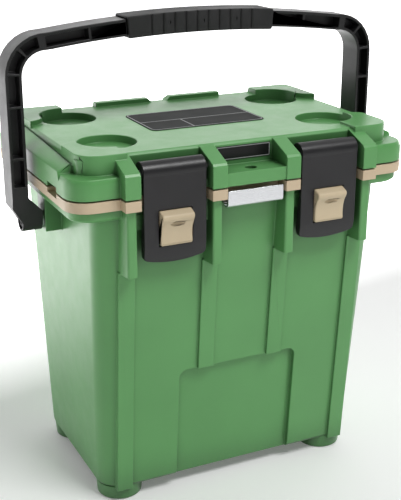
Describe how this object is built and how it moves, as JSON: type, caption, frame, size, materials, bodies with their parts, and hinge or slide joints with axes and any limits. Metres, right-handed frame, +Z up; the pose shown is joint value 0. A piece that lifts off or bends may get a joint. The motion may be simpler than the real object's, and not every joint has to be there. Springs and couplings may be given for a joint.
{
  "type": "hard-sided cooler",
  "caption": "Insulated hard-sided picnic cooler with a hinged lid, swinging bail handle, press-and-pull latches, cup holders in the lid and a front bottle opener.",
  "frame": {"origin": "on the ground under the middle of the cooler, centre of the bottom of its bounding box", "axes": "+X to the cooler's right as seen from the front, -Y out of the latched front, +Z up"},
  "size_m": [0.5, 0.344, 0.5956],
  "materials": {
    "green_shell": "satin rotomoulded polyethylene, leaf green",
    "tan_liner": "satin polypropylene, warm tan",
    "foam": "rigid polyurethane foam, matt",
    "rubber": "matt moulded rubber",
    "stainless": "bright rolled stainless steel",
    "bright_steel": "plain stainless steel",
    "dark_steel": "black oxide steel, satin",
    "brass": "knurled insert, dull",
    "black_plastic": "fine-textured glass-filled nylon, near black",
    "tan_button": "satin nylon, tan",
    "black_plate": "semi-gloss black label"
  },
  "bodies": {
    "base": {"body_shell": "green_shell", "body_foam": "foam", "body_liner": "tan_liner", "foot_pad_front_left": "rubber", "foot_pad_front_right": "rubber", "foot_pad_rear_left": "rubber", "foot_pad_rear_right": "rubber", "bottle_opener": "stainless", "opener_screw_left": "bright_steel", "opener_screw_right": "bright_steel", "hinge_pin_left": "bright_steel", "hinge_pin_right": "bright_steel", "pivot_insert_left": "brass", "pivot_insert_right": "brass", "pivot_washer_left": "bright_steel", "pivot_washer_right": "bright_steel", "pivot_bolt_left": "dark_steel", "pivot_bolt_right": "dark_steel"},
    "lid": {"lid_shell": "green_shell", "padlock_shelf": "green_shell", "lid_foam": "foam", "lid_panel": "tan_liner", "lid_seal": "rubber", "lid_label": "black_plate", "front_nameplate": "black_plate", "latch_pin_left": "bright_steel", "latch_pin_right": "bright_steel"},
    "pivot_bushes": {"pivot_bush_left": "black_plastic", "pivot_bush_right": "black_plastic"},
    "handle": {"handle_frame": "black_plastic", "handle_grip": "rubber"},
    "latch_left": {"latch_plate_left": "black_plastic", "button_pin_left": "bright_steel", "button_spring_left": "bright_steel"},
    "latch_right": {"latch_plate_right": "black_plastic", "button_pin_right": "bright_steel", "button_spring_right": "bright_steel"},
    "button_left": {"latch_button_left": "tan_button"},
    "button_right": {"latch_button_right": "tan_button"}
  },
  "joints": [
    {"name": "lid_hinge", "type": "hinge", "parent": "base", "child": "lid", "pos_m": [0, 0.1632, 0.413], "axis": [-1, 0, 0], "range_deg": [0, 90]},
    {"name": "handle_pushback", "type": "hinge", "parent": "base", "child": "pivot_bushes", "pos_m": [0, 0, 0.3513], "axis": [-1, 0, 0], "range_deg": [0, 135]},
    {"name": "handle_swing", "type": "hinge", "parent": "pivot_bushes", "child": "handle", "pos_m": [0, 0, 0.3513], "axis": [1, 0, 0], "range_deg": [-125, 125]},
    {"name": "latch_left_swing", "type": "hinge", "parent": "lid", "child": "latch_left", "pos_m": [-0.1016, -0.15, 0.4385], "axis": [-1, 0, 0], "range_deg": [0, 95]},
    {"name": "button_left_press", "type": "hinge", "parent": "latch_left", "child": "button_left", "pos_m": [-0.1016, -0.1549, 0.3585], "axis": [-1, 0, 0], "range_deg": [0, 8], "stiffness_Nm_per_rad": 0.5, "springref_deg": -5.73},
    {"name": "latch_right_swing", "type": "hinge", "parent": "lid", "child": "latch_right", "pos_m": [0.1016, -0.15, 0.4385], "axis": [-1, 0, 0], "range_deg": [0, 95]},
    {"name": "button_right_press", "type": "hinge", "parent": "latch_right", "child": "button_right", "pos_m": [0.1016, -0.1549, 0.3585], "axis": [-1, 0, 0], "range_deg": [0, 8], "stiffness_Nm_per_rad": 0.5, "springref_deg": -5.73}
  ],
  "couplings": [
    {"joint": "handle_pushback", "follows": "lid_hinge", "ratio": 1.5}
  ]
}
